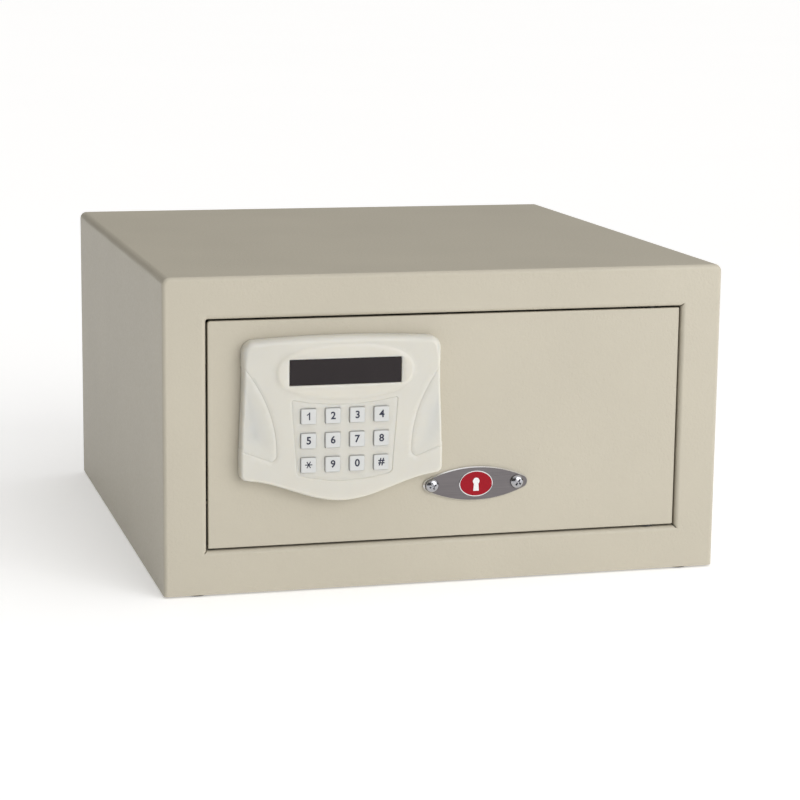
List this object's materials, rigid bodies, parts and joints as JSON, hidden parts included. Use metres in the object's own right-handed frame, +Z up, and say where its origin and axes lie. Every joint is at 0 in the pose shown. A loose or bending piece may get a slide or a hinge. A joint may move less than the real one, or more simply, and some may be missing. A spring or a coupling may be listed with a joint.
{
  "type": "in room safe",
  "caption": "Laptop-size electronic hotel room safe with a hinged front door, keypad, display, motor-driven bolts and an override lock behind a badge.",
  "frame": {"origin": "middle of the bounding box's underside, on the surface that the safe stands on", "axes": "+Z up, the door faces -Y, +X is to the right of someone in front of the door"},
  "size_m": [0.42, 0.4396, 0.2315],
  "materials": {
    "powder_coat": "fine-texture satin powder coat, warm beige",
    "cream_plastic": "satin moulded plastic, cream",
    "key_plastic": "satin moulded plastic, pale grey with dark legends",
    "smoked_window": "smoked glossy acrylic",
    "brushed_badge": "grey metal brushed along its length, bright bevel",
    "bright_steel": "bright plated steel",
    "zinc_steel": "dull zinc-plated steel",
    "brass": "plain turned brass",
    "black_plastic": "matt black moulded plastic",
    "black_rubber": "matt black rubber",
    "grey_rubber": "grey silicone rubber",
    "circuit_board": "green solder-masked board",
    "carpet": "dark needle-punched felt",
    "battery_wrap": "plain printed film, no lettering"
  },
  "bodies": {
    "cabinet": {"body_shell": "powder_coat", "floor_panel": "powder_coat", "back_panel": "powder_coat", "floor_mat": "carpet", "foot_front_left": "black_rubber", "foot_front_right": "black_rubber", "foot_rear_left": "black_rubber", "foot_rear_right": "black_rubber", "upper_hinge_bush": "brass", "lower_hinge_bush": "brass"},
    "door": {"door_plate": "powder_coat", "upper_hinge_pivot": "zinc_steel", "lower_hinge_pivot": "zinc_steel", "badge_plate": "brushed_badge", "badge_screw_left": "bright_steel", "badge_screw_right": "bright_steel", "lock_barrel": "bright_steel", "lock_nut": "zinc_steel", "bolt_guide": "zinc_steel", "left_carriage_post": "zinc_steel", "right_carriage_post": "zinc_steel", "gear_motor": "black_plastic", "keypad_housing": "cream_plastic", "display_window": "smoked_window", "display_module": "black_plastic", "keypad_board": "circuit_board", "key_mat": "grey_rubber", "housing_screw_left": "zinc_steel", "housing_screw_right": "zinc_steel", "ribbon_cable": "black_plastic", "inner_cover": "powder_coat", "cover_screw_lower_left": "zinc_steel", "cover_screw_lower_right": "zinc_steel", "cover_screw_upper_left": "zinc_steel", "cover_screw_upper_right": "zinc_steel", "battery_holder": "black_plastic", "battery_1": "battery_wrap", "battery_2": "battery_wrap", "battery_3": "battery_wrap", "battery_4": "battery_wrap"},
    "lock_core": {"lock_plug": "brass", "lock_cam": "zinc_steel"},
    "bolt_work": {"bolt_carriage": "zinc_steel", "lower_bolt": "bright_steel", "upper_bolt": "bright_steel"},
    "pinion": {"drive_pinion": "brass"},
    "hatch": {"battery_hatch": "black_plastic"},
    "button_1": {"key_1": "key_plastic"},
    "button_2": {"key_2": "key_plastic"},
    "button_3": {"key_3": "key_plastic"},
    "button_4": {"key_4": "key_plastic"},
    "button_5": {"key_5": "key_plastic"},
    "button_6": {"key_6": "key_plastic"},
    "button_7": {"key_7": "key_plastic"},
    "button_8": {"key_8": "key_plastic"},
    "button_star": {"key_star": "key_plastic"},
    "button_9": {"key_9": "key_plastic"},
    "button_0": {"key_0": "key_plastic"},
    "button_hash": {"key_hash": "key_plastic"}
  },
  "joints": [
    {"name": "door_hinge", "type": "hinge", "parent": "cabinet", "child": "door", "pos_m": [0.1575, -0.2019, 0.118], "axis": [0, 0, 1], "range_deg": [0, 100]},
    {"name": "bolt_throw", "type": "slide", "parent": "door", "child": "bolt_work", "axis": [-1, 0, 0], "range_m": [0, 0.016]},
    {"name": "pinion_turn", "type": "hinge", "parent": "door", "child": "pinion", "pos_m": [-0.055, -0.1832, 0.1019], "axis": [0, -1, 0], "range_deg": [0, 131]},
    {"name": "override_lock", "type": "hinge", "parent": "door", "child": "lock_core", "pos_m": [0.0221, -0.2082, 0.0739], "axis": [0, -1, 0], "range_deg": [-60, 0]},
    {"name": "hatch_slide", "type": "slide", "parent": "door", "child": "hatch", "axis": [-1, 0, 0], "range_m": [0, 0.058]},
    {"name": "press_1", "type": "slide", "parent": "door", "child": "button_1", "axis": [0, 1, 0], "range_m": [0, 0.0008], "stiffness_N_per_m": 300},
    {"name": "press_2", "type": "slide", "parent": "door", "child": "button_2", "axis": [0, 1, 0], "range_m": [0, 0.0008], "stiffness_N_per_m": 300},
    {"name": "press_3", "type": "slide", "parent": "door", "child": "button_3", "axis": [0, 1, 0], "range_m": [0, 0.0008], "stiffness_N_per_m": 300},
    {"name": "press_4", "type": "slide", "parent": "door", "child": "button_4", "axis": [0, 1, 0], "range_m": [0, 0.0008], "stiffness_N_per_m": 300},
    {"name": "press_5", "type": "slide", "parent": "door", "child": "button_5", "axis": [0, 1, 0], "range_m": [0, 0.0008], "stiffness_N_per_m": 300},
    {"name": "press_6", "type": "slide", "parent": "door", "child": "button_6", "axis": [0, 1, 0], "range_m": [0, 0.0008], "stiffness_N_per_m": 300},
    {"name": "press_7", "type": "slide", "parent": "door", "child": "button_7", "axis": [0, 1, 0], "range_m": [0, 0.0008], "stiffness_N_per_m": 300},
    {"name": "press_8", "type": "slide", "parent": "door", "child": "button_8", "axis": [0, 1, 0], "range_m": [0, 0.0008], "stiffness_N_per_m": 300},
    {"name": "press_star", "type": "slide", "parent": "door", "child": "button_star", "axis": [0, 1, 0], "range_m": [0, 0.0008], "stiffness_N_per_m": 300},
    {"name": "press_9", "type": "slide", "parent": "door", "child": "button_9", "axis": [0, 1, 0], "range_m": [0, 0.0008], "stiffness_N_per_m": 300},
    {"name": "press_0", "type": "slide", "parent": "door", "child": "button_0", "axis": [0, 1, 0], "range_m": [0, 0.0008], "stiffness_N_per_m": 300},
    {"name": "press_hash", "type": "slide", "parent": "door", "child": "button_hash", "axis": [0, 1, 0], "range_m": [0, 0.0008], "stiffness_N_per_m": 300}
  ],
  "couplings": [
    {"joint": "pinion_turn", "follows": "bolt_throw", "rad_per_m": 142.86}
  ]
}
